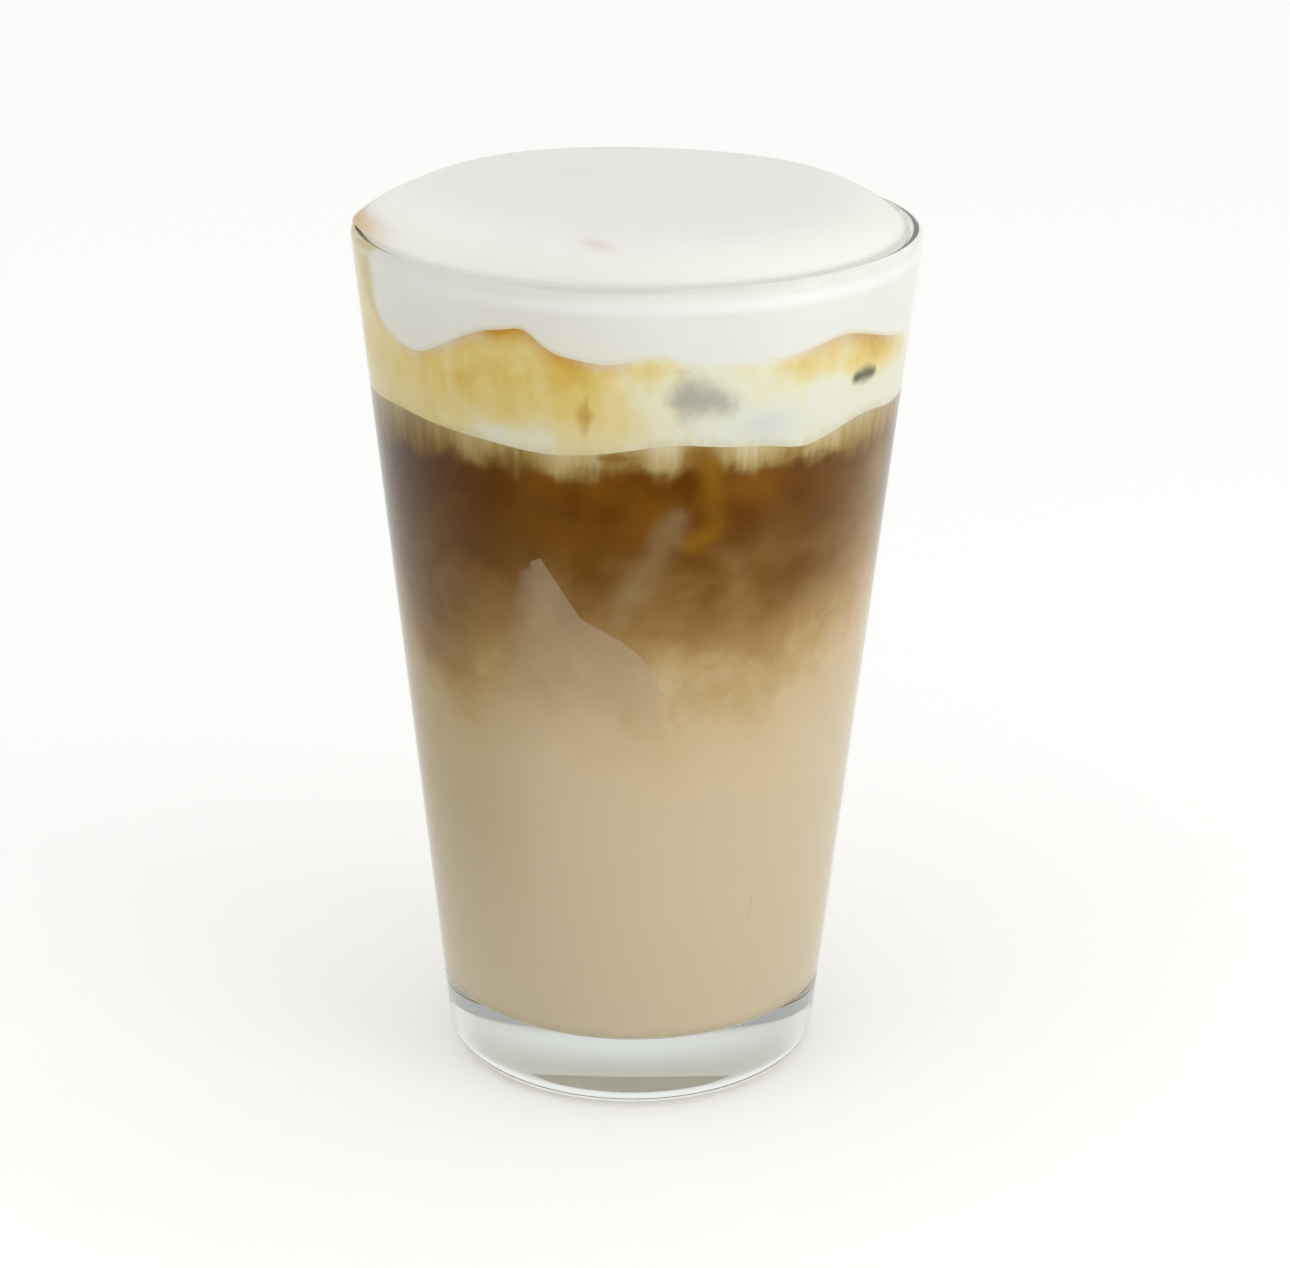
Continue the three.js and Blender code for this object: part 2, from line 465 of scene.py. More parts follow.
def drinkMaterial(name):
    # black coffee poured over milk: dark and clear above, clouded in wisps below
    look = drinkLook
    material, tree = newMaterial(name)
    place = addNode(tree, "TexCoord").outputs["Object"]
    aside, _, height = addNode(tree, "SeparateXYZ", inputs={0: place}).outputs
    # clouds, bent by a slower swirl
    swirl = addNode(tree, "TexNoise", inputs={
        "Vector": place, "Scale": perMm(look["swirl"]), "Detail": 3.0}).outputs["Color"]
    bent = addNode(tree, "VectorMath", timesPlus, {
        0: swirl, 1: [look["swirlBend"] * mm] * 3, 2: place}).outputs[0]
    cloud = addNode(tree, "TexNoise", inputs={
        "Vector": bent, "Scale": perMm(look["cloud"]), "Detail": 7.0, "Roughness": 0.6}).outputs["Fac"]
    rise = addNode(tree, "Attribute", {"attribute_name": "milkRise"}).outputs["Fac"]
    level = addNode(tree, "Math", timesPlus, {0: rise, 1: -1 * mm, 2: height}).outputs[0]
    stirred = addNode(tree, "Math", timesPlus, {0: cloud, 1: look["cloudRise"] * mm, 2: level}).outputs[0]
    low, high = look["depthRange"]
    depth = addNode(tree, "MapRange", inputs={
        "Value": stirred, "From Min": low * mm, "From Max": high * mm}).outputs[0]
    colour = addNode(tree, "ValToRGB", {"stops": look["depths"]}, {"Fac": depth}).outputs["Color"]
    # warmer, lighter patches in the dark part
    patch = addNode(tree, "TexNoise", inputs={
        "Vector": bent, "Scale": perMm(look["patch"]), "Detail": 6.0, "Roughness": 0.6}).outputs["Fac"]
    gold = addNode(tree, "Attribute", {"attribute_name": "goldPatch"}).outputs["Fac"]
    goldEdge = addNode(tree, "Math", timesPlus, {0: patch, 1: 1.6, 2: gold}).outputs[0]
    low, high = look["darkRange"]
    dark = addNode(tree, "MapRange", inputs={
        "Value": height, "From Min": low * mm, "From Max": high * mm}).outputs[0]
    warm = addNode(tree, "MapRange", inputs={
        "Value": goldEdge, "From Min": 0.75, "From Max": 1.7, "To Max": 0.8}).outputs[0]
    warmShare = addNode(tree, "Math", times, {0: warm, 1: dark}).outputs[0]
    colour = addNode(tree, "Mix", mixColours, {
        0: warmShare, 6: colour, 7: hexColour(look["goldPatch"])}).outputs[2]
    # painted light: golden towards both sides, where the coffee is seen edge on
    across = addNode(tree, "Math", {"operation": "ABSOLUTE"}, {0: aside}).outputs[0]
    side = addNode(tree, "MapRange", inputs={
        "Value": across, "From Min": 25 * mm, "From Max": 37 * mm, "To Max": 0.5}).outputs[0]
    sideShare = addNode(tree, "Math", times, {0: side, 1: dark}).outputs[0]
    colour = addNode(tree, "Mix", mixColours, {
        0: sideShare, 6: colour, 7: hexColour(look["edgeOnPaintedLight"])}).outputs[2]
    # wisps of milk, frayed by the same clouds
    for wisp, shade, strength in look["wisps"]:
        near = addNode(tree, "Attribute", {"attribute_name": wisp}).outputs["Fac"]
        frayed = addNode(tree, "Math", timesPlus, {0: patch, 1: 2.6, 2: near}).outputs[0]
        share = addNode(tree, "MapRange", smoothEdge, {
            "Value": frayed, "From Min": 0.8, "From Max": 2.5, "To Max": strength}).outputs[0]
        colour = addNode(tree, "Mix", mixColours, {0: share, 6: colour, 7: hexColour(shade)}).outputs[2]
    # ice, pale and grey under a thin film of coffee
    iceNear = addNode(tree, "Attribute", {"attribute_name": "ice"}).outputs["Fac"]
    frost = addNode(tree, "TexNoise", inputs={
        "Vector": place, "Scale": perMm(look["frost"]), "Detail": 4.0}).outputs["Fac"]
    frosted = addNode(tree, "MapRange", inputs={
        "Value": frost, "From Min": 0.3, "From Max": 0.7, "To Min": 0.48, "To Max": 0.64}).outputs[0]
    iceShare = addNode(tree, "Math", times, {0: frosted, 1: iceNear}).outputs[0]
    colour = addNode(tree, "Mix", mixColours, {
        0: iceShare, 6: colour, 7: hexColour(look["ice"])}).outputs[2]
    # cream that ran down the wall in fine streaks and broader tears, some longer than others
    tall = addNode(tree, "Mapping", inputs={"Vector": place, "Scale": (1, 1, 0.08)}).outputs[0]
    streak = addNode(tree, "TexNoise", inputs={
        "Vector": tall, "Scale": perMm(look["streak"]), "Detail": 2.0, "Roughness": 0.6}).outputs["Fac"]
    torn = addNode(tree, "Mapping", inputs={"Vector": place, "Scale": (1, 1, 0.2)}).outputs[0]
    tear = addNode(tree, "TexNoise", inputs={
        "Vector": torn, "Scale": perMm(look["tear"]), "Detail": 3.0}).outputs["Fac"]
    fray = addNode(tree, "TexNoise", inputs={
        "Vector": place, "Scale": perMm(look["fray"]), "Detail": 4.0}).outputs["Fac"]
    film = addNode(tree, "Attribute", {"attribute_name": "film"}).outputs["Fac"]
    uneven = addNode(tree, "Math", timesPlus, {0: fray, 1: 7.0, 2: film}).outputs[0]
    bunched = addNode(tree, "Math", timesPlus, {0: tear, 1: 2.5, 2: uneven}).outputs[0]
    ragged = addNode(tree, "Math", timesPlus, {0: streak, 1: 0.8, 2: bunched}).outputs[0]
    pale = addNode(tree, "Attribute", {"attribute_name": "filmPale"}).outputs["Fac"]
    thick = addNode(tree, "MapRange", inputs={
        "Value": pale, "From Min": 0.05, "From Max": 0.45, "To Min": 0.72, "To Max": 0.97}).outputs[0]
    filmShare = addNode(tree, "MapRange", smoothEdge, {
        "Value": ragged, "From Min": 3.1, "From Max": 6.8, "To Max": thick}).outputs[0]
    paleTear = addNode(tree, "Math", timesPlus, {0: tear, 1: 0.8, 2: pale}).outputs[0]
    paleStreak = addNode(tree, "Math", timesPlus, {0: streak, 1: 0.5, 2: paleTear}).outputs[0]
    risen = addNode(tree, "Math", timesPlus, {0: film, 1: 0.12, 2: paleStreak}).outputs[0]
    cream = addNode(tree, "MapRange", inputs={"Value": risen, "From Min": 0.5, "From Max": 1.62}).outputs[0]
    creamColour = addNode(tree, "ValToRGB", {"stops": look["cream"]}, {"Fac": cream}).outputs["Color"]
    colour = addNode(tree, "Mix", mixColours, {0: filmShare, 6: colour, 7: creamColour}).outputs[2]
    smudge = addNode(tree, "Attribute", {"attribute_name": "smudge"}).outputs["Fac"]
    smudgeEdge = addNode(tree, "Math", timesPlus, {0: streak, 1: 1.0, 2: smudge}).outputs[0]
    smudgeShare = addNode(tree, "MapRange", smoothEdge, {
        "Value": smudgeEdge, "From Min": 0.65, "From Max": 1.3, "To Max": 0.8}).outputs[0]
    colour = addNode(tree, "Mix", mixColours, {
        0: smudgeShare, 6: colour, 7: hexColour(look["smudge"])}).outputs[2]
    # painted shade: darker on the left, away from the light
    left = addNode(tree, "MapRange", inputs={
        "Value": aside, "From Min": -11 * mm, "From Max": -34 * mm, "To Max": 0.75}).outputs[0]
    raised = addNode(tree, "MapRange", inputs={
        "Value": height, "From Min": 15 * mm, "From Max": 50 * mm}).outputs[0]
    leftShadeShare = addNode(tree, "Math", times, {0: left, 1: raised}).outputs[0]
    colour = addNode(tree, "Mix", {**mixColours, "blend_type": "MULTIPLY"}, {
        0: leftShadeShare, 6: colour, 7: hexColour(look["leftShade"])}).outputs[2]
    # painted light: the underside is painted near white, for the light that the milk scatters
    under = addNode(tree, "MapRange", inputs={
        "Value": height, "From Min": 11.9 * mm, "From Max": 12.6 * mm,
        "To Min": 1.0, "To Max": 0.0}).outputs[0]
    colour = addNode(tree, "Mix", mixColours, {
        0: under, 6: colour, 7: hexColour(look["underside"])}).outputs[2]
    shader = addNode(tree, "BsdfPrincipled", inputs={
        "Base Color": colour,
        "Roughness": 0.4,
        "Specular IOR Level": 0.0,  # it wets the glass, so it has no gloss of its own
    })
    addNode(tree, "OutputMaterial", inputs={"Surface": shader.outputs[0]})
    return material


latte = turnPiece("milkyLatte", latteOutline)
paint(latte, drinkFields)
fit(latte, "latte", drinkMaterial("milky latte"))

coffee = turnPiece("blackCoffee", coffeeOutline)
paint(coffee, drinkFields)
fit(coffee, "coffee", drinkMaterial("black coffee"))


# Crema

stains = {
    "base": 0.14,  # everywhere
    # how much coffee stained it: azimuth, height, half width, half height, strength
    "coffee": [(-52, 120, 34, 14, 0.5), (-27, 124.5, 17, 7, 0.5), (-11, 120.5, 7, 8, 0.45),
               (-28, 114.4, 9, 2.0, -0.35), (-80, 124, 10, 10, 0.4), (2.5, 126, 5, 3, 0.4),
               (1, 117, 6, 4, 0.2), (14, 117, 9, 2.6, -0.2), (30, 116, 9, 3, -0.25), (36, 124.5, 9, 3, 0.4),
               (44, 119, 8, 4, -0.3), (58, 123.4, 13, 3.2, 0.75), (60, 117, 14, 4, -0.2),
               (105, 121, 22, 8, 0.6), (150, 117, 22, 6, 0.1), (178, 122, 16, 6, 0.5),
               (-125, 121, 28, 9, 0.6)],
    # the caramel line under the white foam: azimuth, strength, half width
    "caramel": [(-27, 0.9, 9), (-38, 0.3, 5), (-13, 0.7, 6), (-4, 0.3, 4), (57, 0.85, 11), (40, 0.3, 8),
                (-70, 0.4, 6), (-92, 0.3, 14), (-50, 0.35, 9), (122, 0.7, 14), (165, 0.8, 12),
                (-145, 0.9, 15)],
    # how deep it goes, and where it goes deeper
    "caramelDepth": 1.7,
    "caramelDeeper": [(-28, 0.5, 8), (-14.5, 3.2, 5), (60, 1.2, 12), (40, 1.0, 8), (-145, 1.6, 12),
                      (165, 1.2, 10)],
    # one drip and one gap: azimuth, height, half width in mm
    "drip": [(-10.4, 121.4, 0.25), (-10.5, 119.4, 0.6), (-10.4, 118.6, 1.0), (-10.5, 117.5, 0.5),
             (-10.6, 115.4, 0.3), (-10.6, 112.8, 0.25)],
    "gap": [(52.4, 120.5, 1.0), (55, 120.7, 1.6), (58.6, 120.5, 1.0)],
    # ice behind the foam and melted foam beside it: azimuth, height, half width, half height, strength
    "ice": [(11.5, 121.6, 6.6, 3.8, 0.85), (17.5, 120.6, 5, 2.4, 0.45), (22.5, 119.2, 4.5, 1.7, 0.3)],
    "bluish": [(28.5, 116.2, 6, 2.4, 0.65)],
}


def stainAt(azimuth, height):
    return stains["base"] + spotsAt(stains["coffee"], azimuth, height)


def caramelAt(azimuth, height):
    # strongest against the white foam
    below = cremaTop(azimuth) - height
    deep = stains["caramelDepth"] + wavesAt(stains["caramelDeeper"], azimuth)
    return wavesAt(stains["caramel"], azimuth) * math.exp(-(max(0.0, below) / deep) ** 2)


cremaFields = {
    "belowFoam": lambda azimuth, height: cremaTop(azimuth) - height,
    "aboveCoffee": lambda azimuth, height: height - coffeeTop(azimuth),
    "caramel": caramelAt,
    "stain": stainAt,
    "drip": lambda azimuth, height: wispAt(stains["drip"], azimuth, height),
    "ice": lambda azimuth, height: spotsAt(stains["ice"], azimuth, height),
    "bluish": lambda azimuth, height: spotsAt(stains["bluish"], azimuth, height),
    "gap": lambda azimuth, height: wispAt(stains["gap"], azimuth, height),
}

cremaLook = {
    # from clean foam to foam stained by the coffee
    "stains": [(0.0, "#f0f1e3"), (0.25, "#f2eed2"), (0.5, "#efe1a8"), (0.75, "#ebd488"), (1.0, "#dfbb5a")],
    "bleed": "#f2f1e6",
    # from the white foam down, over this many mm
    "caramel": [(0.0, "#cd9832"), (0.3, "#d9a83c"), (1.0, "#e4bd55")],
    "caramelFades": 4.5,
    "fringe": "#c9b784",
    "drip": "#c08a20",
    "bluish": "#dfe1e2",
    "ice": "#b4b0a6",
    "gap": "#4e4424",
    # sizes of the patterns in mm
    "streak": 2.6,
    "blotch": 5,
    "thread": 1.1,
}


def cremaMaterial(name):
    # foam stained by the coffee poured through it: butter yellow, with a caramel edge under the white foam
    look = cremaLook
    material, tree = newMaterial(name)
    place = addNode(tree, "TexCoord").outputs["Object"]
    tall = addNode(tree, "Mapping", inputs={"Vector": place, "Scale": (1, 1, 0.25)}).outputs[0]
    streak = addNode(tree, "TexNoise", inputs={
        "Vector": tall, "Scale": perMm(look["streak"]), "Detail": 3.0}).outputs["Fac"]
    blotch = addNode(tree, "TexNoise", inputs={
        "Vector": place, "Scale": perMm(look["blotch"]), "Detail": 4.0, "Roughness": 0.6}).outputs["Fac"]
    # yellow where the coffee stained it, pale where it didn't
    stain = addNode(tree, "Attribute", {"attribute_name": "stain"}).outputs["Fac"]
    streaked = addNode(tree, "Math", timesPlus, {0: streak, 1: 0.35, 2: stain}).outputs[0]
    mottled = addNode(tree, "Math", timesPlus, {0: blotch, 1: 0.75, 2: streaked}).outputs[0]
    share = addNode(tree, "MapRange", inputs={
        "Value": mottled, "From Min": 0.5, "From Max": 1.6}).outputs[0]
    colour = addNode(tree, "ValToRGB", {"stops": look["stains"]}, {"Fac": share}).outputs["Color"]
    # white foam bleeds a little way down into it
    below = addNode(tree, "Attribute", {"attribute_name": "belowFoam"}).outputs["Fac"]
    lower = addNode(tree, "Math", timesPlus, {0: blotch, 1: 2.0, 2: below}).outputs[0]
    bleed = addNode(tree, "MapRange", smoothEdge, {
        "Value": lower, "From Min": 0.9, "From Max": 2.6, "To Min": 0.7, "To Max": 0.0}).outputs[0]
    colour = addNode(tree, "Mix", mixColours, {0: bleed, 6: colour, 7: hexColour(look["bleed"])}).outputs[2]
    # caramel line under the foam
    caramel = addNode(tree, "Attribute", {"attribute_name": "caramel"}).outputs["Fac"]
    uneven = addNode(tree, "MapRange", inputs={
        "Value": blotch, "From Min": 0.3, "From Max": 0.65, "To Min": 0.75, "To Max": 1.25}).outputs[0]
    deep = addNode(tree, "MapRange", inputs={"Value": below, "From Max": look["caramelFades"]}).outputs[0]
    caramelColour = addNode(tree, "ValToRGB", {"stops": look["caramel"]}, {"Fac": deep}).outputs["Color"]
    caramelShare = addNode(tree, "Math", timesUpToOne, {0: caramel, 1: uneven}).outputs[0]
    colour = addNode(tree, "Mix", mixColours, {0: caramelShare, 6: colour, 7: caramelColour}).outputs[2]
    # its lowest millimetre runs into the film on the wall
    aboveCoffee = addNode(tree, "Attribute", {"attribute_name": "aboveCoffee"}).outputs["Fac"]
    fine = addNode(tree, "Mapping", inputs={"Vector": place, "Scale": (1, 1, 0.12)}).outputs[0]
    thread = addNode(tree, "TexNoise", inputs={
        "Vector": fine, "Scale": perMm(look["thread"]), "Detail": 2.0}).outputs["Fac"]
    fringe = addNode(tree, "Math", timesPlus, {0: thread, 1: -2.4, 2: aboveCoffee}).outputs[0]
    fringeShare = addNode(tree, "MapRange", smoothEdge, {
        "Value": fringe, "From Min": -1.5, "From Max": 0.3, "To Min": 0.3, "To Max": 0.0}).outputs[0]
    colour = addNode(tree, "Mix", mixColours, {
        0: fringeShare, 6: colour, 7: hexColour(look["fringe"])}).outputs[2]
    # one drip of coffee
    drip = addNode(tree, "Attribute", {"attribute_name": "drip"}).outputs["Fac"]
    dripShare = addNode(tree, "MapRange", smoothEdge, {
        "Value": drip, "From Min": -0.8, "From Max": 1.0, "To Max": 0.75}).outputs[0]
    colour = addNode(tree, "Mix", mixColours, {
        0: dripShare, 6: colour, 7: hexColour(look["drip"])}).outputs[2]
    # ice behind the foam, with melted foam beside it, and a gap with dark coffee in it
    bluish = addNode(tree, "Attribute", {"attribute_name": "bluish"}).outputs["Fac"]
    colour = addNode(tree, "Mix", mixColours, {
        0: bluish, 6: colour, 7: hexColour(look["bluish"])}).outputs[2]
    iceNear = addNode(tree, "Attribute", {"attribute_name": "ice"}).outputs["Fac"]
    iceEdge = addNode(tree, "Math", timesPlus, {0: blotch, 1: 1.1, 2: iceNear}).outputs[0]
    iceShare = addNode(tree, "MapRange", smoothEdge, {
        "Value": iceEdge, "From Min": 0.7, "From Max": 1.55, "To Max": 0.88}).outputs[0]
    colour = addNode(tree, "Mix", mixColours, {
        0: iceShare, 6: colour, 7: hexColour(look["ice"])}).outputs[2]
    gap = addNode(tree, "Attribute", {"attribute_name": "gap"}).outputs["Fac"]
    gapEdge = addNode(tree, "Math", timesPlus, {0: streak, 1: 0.8, 2: gap}).outputs[0]
    gapShare = addNode(tree, "MapRange", smoothEdge, {
        "Value": gapEdge, "From Min": -0.1, "From Max": 1.4, "To Max": 0.9}).outputs[0]
    colour = addNode(tree, "Mix", mixColours, {
        0: gapShare, 6: colour, 7: hexColour(look["gap"])}).outputs[2]
    shader = addNode(tree, "BsdfPrincipled", inputs={
        "Base Color": colour,
        "Roughness": 0.6,
        "Specular IOR Level": 0.0,
    })
    addNode(tree, "OutputMaterial", inputs={"Surface": shader.outputs[0]})
    return material


crema = turnPiece("stainedCrema", cremaOutline)
paint(crema, cremaFields)
fit(crema, "crema", cremaMaterial("stained foam"))


# Ice

def iceBlock(name, outline, proud):
    # a sheet trimmed to the outline, thickened into the drink and bent to the wall
    corners = [Vector((turn * mmPerDegree, level, 0)) for turn, level in outline]
    low = Vector((min(c.x for c in corners), min(c.y for c in corners), 0))
    high = Vector((max(c.x for c in corners), max(c.y for c in corners), 0))
    middle = (low + high) / 2
    shape = bmesh.new()
    bmesh.ops.create_grid(
        shape, x_segments=round(high.x - low.x), y_segments=round(high.y - low.y),
        size=1, matrix=Matrix.Translation(middle) @ Matrix.Diagonal((*((high - low) / 2).xy, 1, 1)))
    for a, b in zip(corners, corners[1:] + corners[:1]):
        outward = Vector((a.y - b.y, b.x - a.x, 0))
        if outward.dot(middle - a) > 0:
            outward = -outward
        bmesh.ops.bisect_plane(shape, geom=shape.verts[:] + shape.edges[:] + shape.faces[:],
                               plane_co=a, plane_no=outward, clear_outer=True)
    inner = bmesh.ops.extrude_face_region(shape, geom=shape.faces[:])["geom"]
    bmesh.ops.translate(shape, verts=[part for part in inner if isinstance(part, bmesh.types.BMVert)],
                        vec=(0, 0, iceDepth))
    for point in shape.verts:
        azimuth = point.co.x / mmPerDegree
        # where it fades it goes under the drink's surface
        sunk = iceDepth
        if point.co.z < iceDepth / 2:
            sunk = iceHaze["sinks"] * (1 - iceHazeAt(azimuth, point.co.y))
        radius = innerRadius(point.co.y) + drink["reach"] + proud - sunk
        turn = math.radians(azimuth)
        point.co = Vector((radius * math.sin(turn), -radius * math.cos(turn), point.co.y)) * mm
    return pieceFrom(name, shape)


iceInCoffee = drinkMaterial("ice in coffee")
for name, (outline, proud) in ice.items():
    block = iceBlock(name, outline, proud)
    paint(block, {**drinkFields, "ice": iceAt})
    block.data.materials.append(iceInCoffee)
    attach(block, "root")


# Milk foam

foamTop = {
    "domeHeight": 6.0,
    "restsAt": tumbler["height"] + 0.2,
    "fullness": 5.7,
    "rings": 48,
    "ringPacking": 1.6,  # rings stand closer at the dome's edge
    "tilt": -0.027,  # rise for each millimetre to the right
    "bulge": [(118, 1.3, 38)],  # where the dome stands fuller
    "cover": 158,  # degrees round the lip, from outside, where the foam leaves it
    # where it runs further over the lip: azimuth, degrees, half width
    "overLip": [(-90, 100, 15), (135, 48, 34), (-140, 48, 30)],
    "lipSwell": 0.005,  # mm that it stands further off the lip for each of those degrees
    # coffee smeared over the lip, at this height and half height
    "smear": [(-86, 1.0, 15)],
    "smearHeight": (tumbler["height"] + 0.2, 1.8),
    # a faint streak of coffee on the dome: its middle, the way it runs, and its half length and width
    "mark": (-5.6, -33.8, 143.0),
    "markAlong": (0.87, -0.5),
    "markSize": (2.8, 1.1),
    # painted highlight: whiter foam close under the lip, for the bright band the lip shows there, at this
    # height and half height
    "freshBand": [(45, 1.0, 60), (-20, 0.3, 25)],
    "lipHighlightHeight": (lipCentre[1] - 1.85, 1.0),
    # painted shade and dark reflection: a thin dark line against the lip, which rises and falls between
    # these heights over the lip's centre
    "wetLine": [(0, 0.5, 30), (52, 0.6, 24), (95, 1.0, 34), (-45, 0.75, 26), (-80, 0.6, 18),
                (180, 0.6, 60)],
    "lipShadeRise": (-0.06, 0.1),
    "lipShadeFall": (0.62, 0.42),
    # painted shade: greyer foam round the dome's lower edge: none and full, from above and from below
    "domeShadeTop": (143, 139),
    "domeShadeFoot": (136.9, 137.5),
    # the crema's stain climbs to the rim round the left side: none and full, in azimuth and in height
    "sideStainFrom": (-64.5, -69.5),
    "sideStainTo": (-150, -110),
    "sideStainTop": (137.4, 135.5),
}


def foamOutline(azimuth):
    over = wavesAt(foamTop["overLip"], azimuth)
    lipRadius = tumbler["lip"] - drink["reach"] + foamTop["lipSwell"] * over
    overLip = arcPoints(lipCentre, lipRadius, 180, foamTop["cover"] - over, 12)
    edgeRadius, edgeHeight = overLip[-1]
    lean = foamTop["tilt"] * math.sin(math.radians(azimuth)) * edgeRadius
    lean += wavesAt(foamTop["bulge"], azimuth)
    dome = []  # from the edge, which blends into the dome, to the middle
    for ring in range(1, foamTop["rings"] + 1):
        share = 1 - (ring / foamTop["rings"]) ** foamTop["ringPacking"]
        base = edgeHeight * share ** 12 + foamTop["restsAt"] * (1 - share ** 12)
        rise = foamTop["domeHeight"] * (1 - share ** foamTop["fullness"])
        dome.append((share * edgeRadius, base + rise + share * lean * (1 - share ** 4)))
    wall = wallRows(cremaTop(azimuth), lipCentre[1], drink["rows"]["foam"])
    return [*layerFace(cremaTop, azimuth), *wall, *overLip, *dome]


foamLook = {
    "cloud": [(0.3, "#f1f0e9"), (0.7, "#f5f5f0")],
    "cloudSize": 16,  # mm
    # painted highlight under the lip
    "highlightWhite": "#ffffff",
    # painted shade round the dome's edge
    "domeEdge": "#e5e5dc",
    # painted shade against the lip
    "lipShadeColour": "#586962",
    "sideStain": "#dfcd8e",
    "caramel": "#d9bf8a",
    "smear": "#cbab80",
    "mark": "#d9c0ae",
    "bubble": 0.45,  # mm
}


def foamMaterial():
    # steamed milk foam: close white bubbles, wet and softly lit through
    look = foamLook
    material, tree = newMaterial("milk foam")
    place = addNode(tree, "TexCoord").outputs["Object"]
    cloud = addNode(tree, "TexNoise", inputs={
        "Vector": place, "Scale": perMm(look["cloudSize"]), "Detail": 4.0}).outputs["Fac"]
    colour = addNode(tree, "ValToRGB", {"stops": look["cloud"]}, {"Fac": cloud}).outputs["Color"]
    # painted highlight under the lip, painted shade round the dome and against the lip, stained up one side
    for field, shade in (("freshBand", "highlightWhite"), ("domeEdge", "domeEdge"), ("wetLine", "lipShadeColour"),
                         ("sideStain", "sideStain")):
        near = addNode(tree, "Attribute", {"attribute_name": field}).outputs["Fac"]
        colour = addNode(tree, "Mix", mixColours, {
            0: near, 6: colour, 7: hexColour(look[shade])}).outputs[2]
    # stained along the crema
    above = addNode(tree, "Attribute", {"attribute_name": "aboveCrema"}).outputs["Fac"]
    caramel = addNode(tree, "Attribute", {"attribute_name": "caramel"}).outputs["Fac"]
    tint = addNode(tree, "MapRange", smoothEdge, {
        "Value": above, "From Min": 0.0, "From Max": 0.9, "To Min": 0.6, "To Max": 0.0}).outputs[0]
    tintShare = addNode(tree, "Math", timesUpToOne, {0: tint, 1: caramel}).outputs[0]
    colour = addNode(tree, "Mix", mixColours, {
        0: tintShare, 6: colour, 7: hexColour(look["caramel"])}).outputs[2]
    # coffee smeared over the lip, and a faint mark on top
    for field, strength in (("smear", 0.9), ("mark", 0.45)):
        near = addNode(tree, "Attribute", {"attribute_name": field}).outputs["Fac"]
        share = addNode(tree, "Math", timesUpToOne, {0: near, 1: strength}).outputs[0]
        colour = addNode(tree, "Mix", mixColours, {
            0: share, 6: colour, 7: hexColour(look[field])}).outputs[2]
    bubbles = addNode(tree, "TexNoise", inputs={
        "Vector": place, "Scale": perMm(look["bubble"]), "Detail": 3.0}).outputs["Fac"]
    relief = addNode(tree, "Bump", inputs={
        "Height": bubbles, "Strength": 0.12, "Distance": 0.1 * mm}).outputs[0]
    shader = addNode(tree, "BsdfPrincipled", inputs={
        "Base Color": colour,
        "Roughness": 0.5,
        "Specular IOR Level": 0.25,
        "Normal": relief,
    })
    addNode(tree, "OutputMaterial", inputs={"Surface": shader.outputs[0]})
    return material


def bandAt(band, height):
    # 1 in the middle of a band, 0 outside it; band of middle height and half height
    middle, halfHeight = band
    return math.exp(-((height - middle) / halfHeight) ** 4)


# painted highlight under the lip
def lipHighlightAt(azimuth, height):
    return min(1.0, wavesAt(foamTop["freshBand"], azimuth)) * bandAt(foamTop["lipHighlightHeight"], height)


# painted shade and dark reflection against the lip
def lipShadeAt(azimuth, height):
    above = height - lipCentre[1]
    line = softStep(*foamTop["lipShadeRise"], above) * softStep(*foamTop["lipShadeFall"], above)
    return min(1.0, wavesAt(foamTop["wetLine"], azimuth)) * line


# painted shade round the dome's edge
def domeShadeAt(azimuth, height):
    return softStep(*foamTop["domeShadeTop"], height) * softStep(*foamTop["domeShadeFoot"], height)


def sideStainAt(azimuth, height):
    reach = softStep(*foamTop["sideStainFrom"], azimuth) * softStep(*foamTop["sideStainTo"], azimuth)
    return reach * softStep(*foamTop["sideStainTop"], height)


def smearAt(azimuth, height):
    return wavesAt(foamTop["smear"], azimuth) * bandAt(foamTop["smearHeight"], height)


foam = turnPiece("milkFoam", foamOutline)
paint(foam, {
    "aboveCrema": lambda azimuth, height: height - cremaTop(azimuth),
    "caramel": lambda azimuth, height: wavesAt(stains["caramel"], azimuth),
    "freshBand": lipHighlightAt,
    "smear": smearAt,
    "wetLine": lipShadeAt,
    "domeEdge": domeShadeAt,
    "sideStain": sideStainAt,
})
markField = foam.data.attributes.new("mark", "FLOAT", "POINT")
runX, runY = foamTop["markAlong"]
halfLength, halfWidth = foamTop["markSize"]
for point, value in zip(foam.data.vertices, markField.data):
    away = point.co / mm - Vector(foamTop["mark"])
    along, across = away.xy.dot((runX, runY)), away.xy.dot((-runY, runX))
    value.value = math.exp(-(along / halfLength) ** 2 - (across / halfWidth) ** 2) if away.z > -6 else 0.0
fit(foam, "foam", foamMaterial())


# Floor, light and camera

studio = {
    "floorSize": 60.0,
    "floorGlow": 0.13,
    "sky": 0.905,
    # a soft grey wall behind the glass, by the sine of its height angle
    "backWall": [(0.36, "#ffffff"), (0.42, "#eeeeec"), (0.46, "#dfded9"), (0.5, "#d0cdc3"),
                 (0.62, "#d0cdc3"), (0.78, "#ffffff")],
    # soft strips, low on both sides in front of the glass, in metres and watts
    "stripAim": (0, 0, 0.1),
    "rightStrip": {"at": (0.48, -0.32, 0.07), "size": (0.36, 0.14), "power": 2.0},
    "leftStrip": {"at": (-0.48, -0.32, 0.07), "size": (0.36, 0.14), "power": 0.75},
}

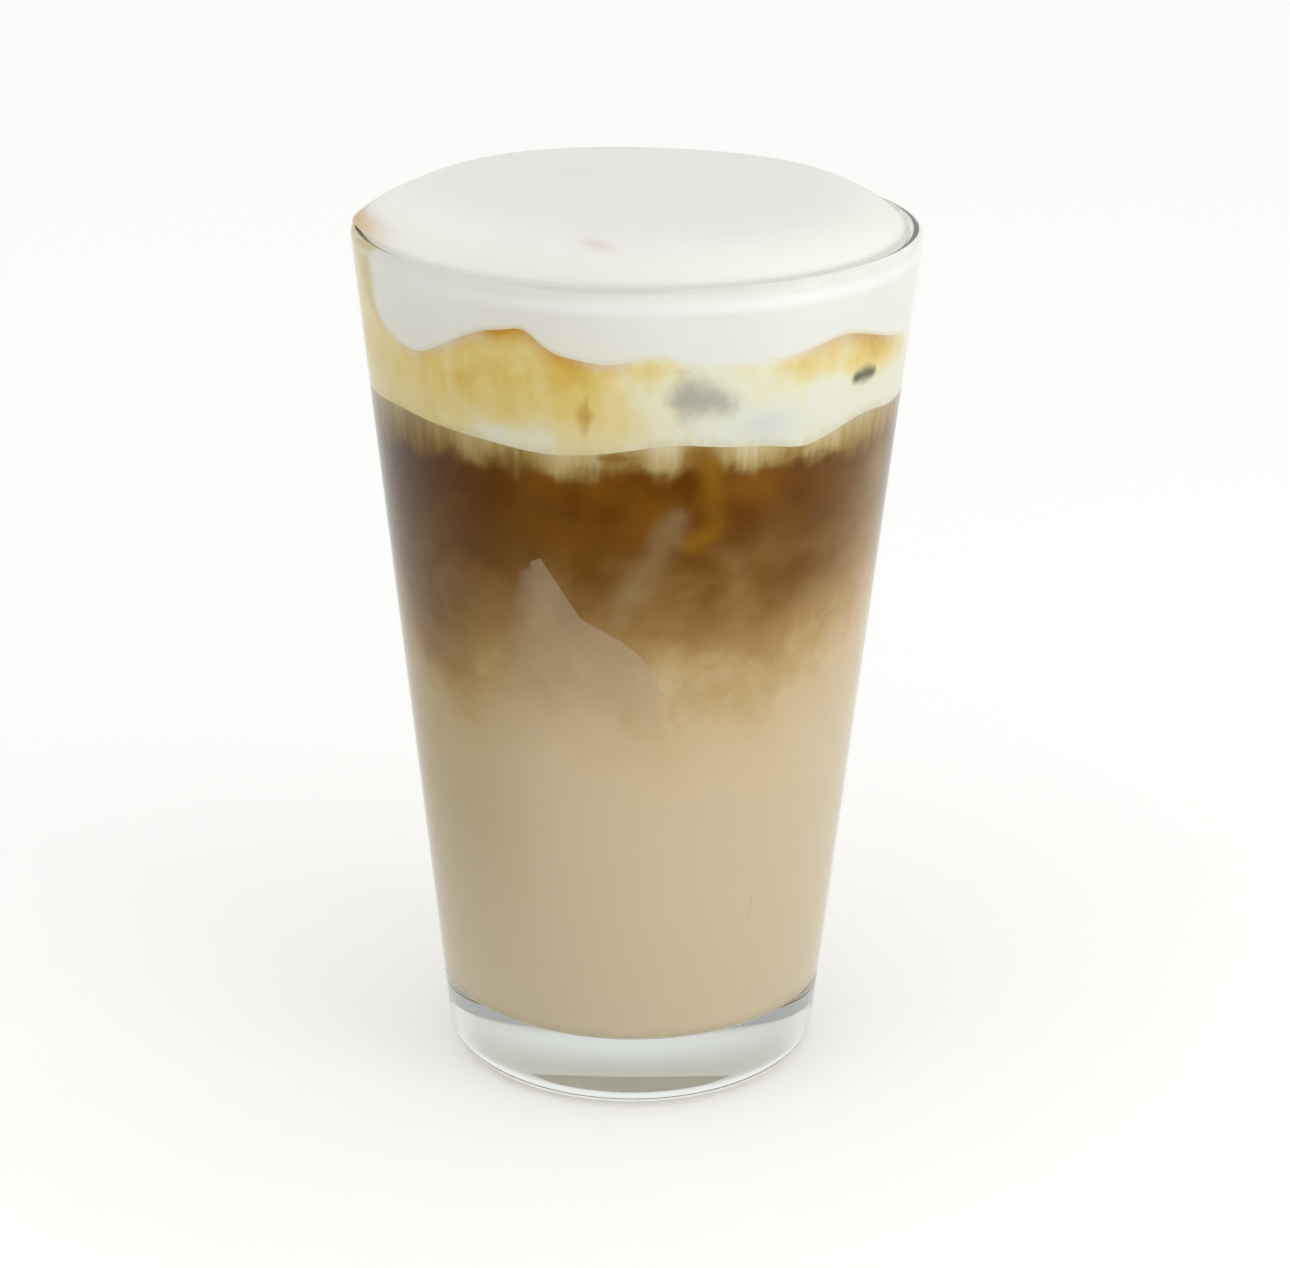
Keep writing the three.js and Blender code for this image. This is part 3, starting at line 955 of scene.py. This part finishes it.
floorShape = bmesh.new()
bmesh.ops.create_grid(floorShape, x_segments=1, y_segments=1, size=studio["floorSize"] / 2)
floor = pieceFrom("paperFloor", floorShape)
paper, paperTree = newMaterial("white paper")
paperShader = addNode(paperTree, "BsdfPrincipled", inputs={
    "Base Color": hexColour("#f9f9f8"),
    "Emission Color": (1, 1, 1, 1),
    "Emission Strength": studio["floorGlow"],
    "Roughness": 0.9,
    "Specular IOR Level": 0.1,
})
addNode(paperTree, "OutputMaterial", inputs={"Surface": paperShader.outputs[0]})
floor.data.materials.append(paper)

world = bpy.data.worlds.new("studio")
world.use_nodes = True
sky = world.node_tree
sky.nodes.clear()
toward = addNode(sky, "SeparateXYZ", inputs={0: addNode(sky, "TexCoord").outputs["Generated"]})
behind = addNode(sky, "MapRange", smoothEdge, {
    "Value": toward.outputs["Y"], "From Min": 0.3, "From Max": 0.65}).outputs[0]
wall = addNode(sky, "ValToRGB", {"stops": studio["backWall"]}, {
    "Fac": toward.outputs["Z"]}).outputs["Color"]
room = addNode(sky, "Mix", mixColours, {0: behind, 6: (1, 1, 1, 1), 7: wall}).outputs[2]
dome = addNode(sky, "Background", inputs={"Color": room, "Strength": studio["sky"]})
addNode(sky, "OutputWorld", inputs={"Surface": dome.outputs[0]})
bpy.context.scene.world = world

for name in ("rightStrip", "leftStrip"):
    lamp = studio[name]
    light = bpy.data.lights.new(name, "AREA")
    light.shape = "RECTANGLE"
    light.size, light.size_y = lamp["size"]
    light.energy = lamp["power"]
    holder = bpy.data.objects.new(name, light)
    holder.location = lamp["at"]
    aim = Vector(studio["stripAim"]) - Vector(lamp["at"])
    holder.rotation_euler = aim.to_track_quat("-Z", "Y").to_euler()
    holder.visible_camera = False  # only its light is seen
    bpy.context.scene.collection.objects.link(holder)

view = {
    "at": (0, -0.4766, 0.2478),
    "aim": (0.0018, 0, 0.0702),
    "roll": 0.513,  # degrees
    "lens": 87.86,
    "sensor": 36.0,
}
camera = bpy.data.cameras.new("photo")
camera.lens = view["lens"]
camera.sensor_width = view["sensor"]
cameraObject = bpy.data.objects.new("photo", camera)
facing = (Vector(view["aim"]) - Vector(view["at"])).to_track_quat("-Z", "Y").to_matrix().to_4x4()
cameraObject.matrix_world = (Matrix.Translation(view["at"]) @ facing
                             @ Matrix.Rotation(math.radians(view["roll"]), 4, "Z"))
bpy.context.scene.collection.objects.link(cameraObject)
bpy.context.scene.camera = cameraObject
bpy.context.scene.view_settings.view_transform = "Standard"
print("stage set")

bpy.context.view_layer.update()
